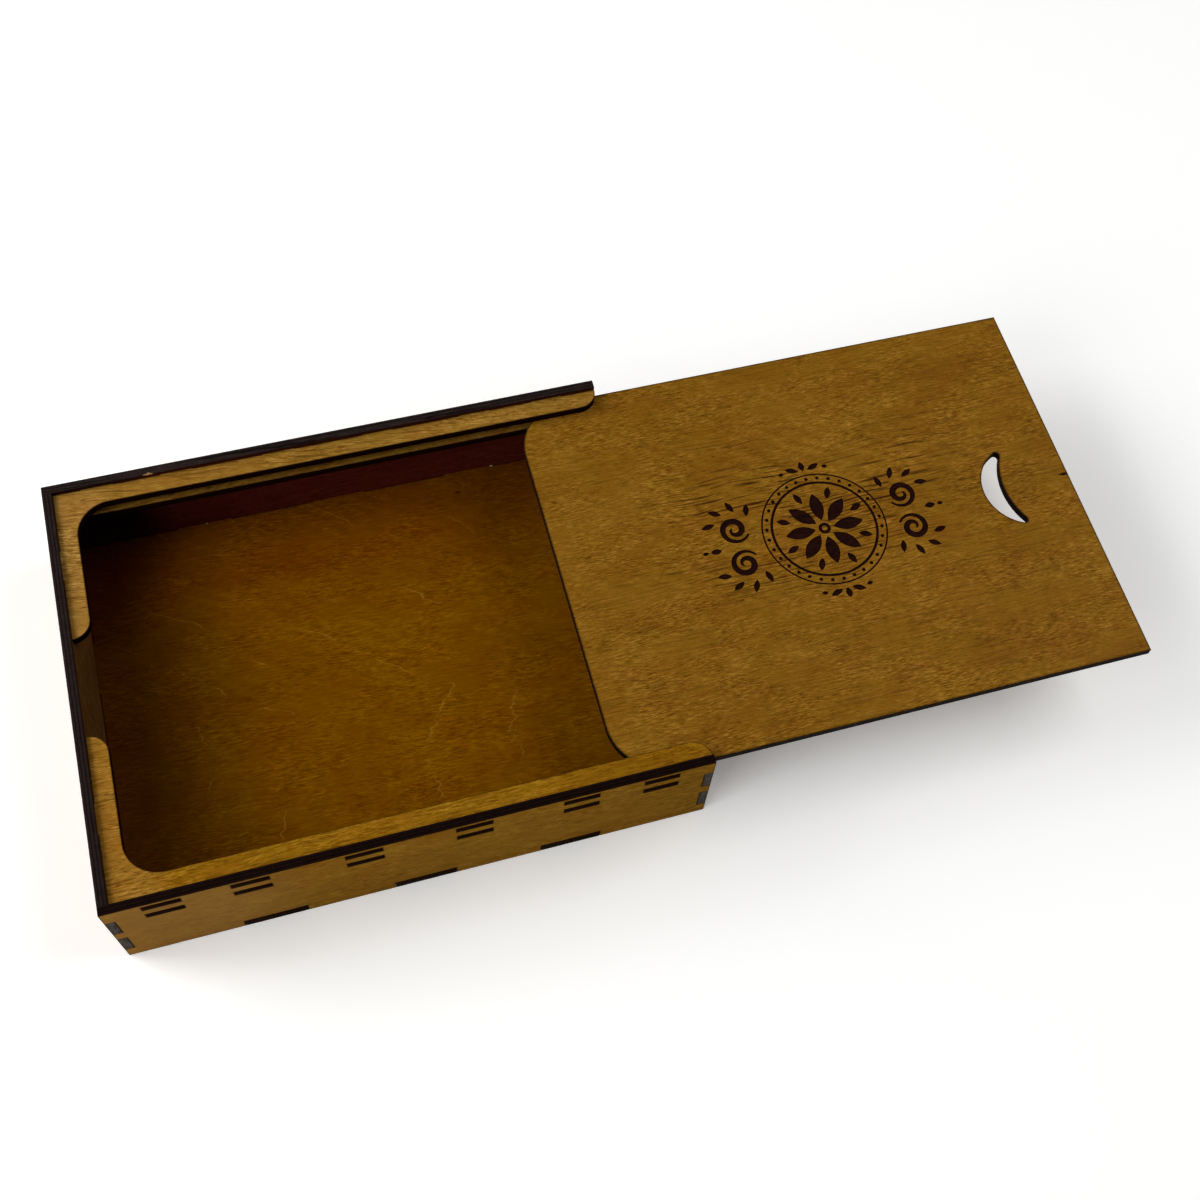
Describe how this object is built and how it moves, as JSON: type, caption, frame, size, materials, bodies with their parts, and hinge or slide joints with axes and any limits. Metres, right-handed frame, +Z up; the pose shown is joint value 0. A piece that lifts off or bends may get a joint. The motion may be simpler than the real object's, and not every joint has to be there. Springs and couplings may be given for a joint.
{
  "type": "sliding-lid storage box",
  "caption": "Shallow plywood storage box with finger-jointed walls, slotted guide rails and a thin lid that slides out of the low end; the lid has a crescent finger hole.",
  "frame": {"origin": "centre of the box's underside, on the surface it stands on", "axes": "+X runs along the box towards its open end, the way the lid slides out; +Y runs from the front wall to the back wall; +Z is up"},
  "size_m": [0.365, 0.1586, 0.045],
  "materials": {
    "floor_ply": "stained birch plywood, satin oil",
    "wall_ply": "stained birch plywood, satin oil, burnt cut edges",
    "rail_ply": "lightly stained birch plywood, satin oil, burnt cut edges",
    "lid_ply": "stained birch plywood, satin oil, burnt cut edges"
  },
  "bodies": {
    "box": {"floor_panel": "floor_ply", "front_wall": "wall_ply", "back_wall": "wall_ply", "closed_end_wall": "wall_ply", "open_end_wall": "wall_ply", "front_upper_rail": "rail_ply", "back_upper_rail": "rail_ply", "front_lower_rail": "rail_ply", "back_lower_rail": "rail_ply"},
    "lid": {"sliding_lid": "lid_ply"}
  },
  "joints": [
    {"name": "lid_slide", "type": "slide", "parent": "box", "child": "lid", "axis": [1, 0, 0], "range_m": [-0.165, 0.035]}
  ]
}
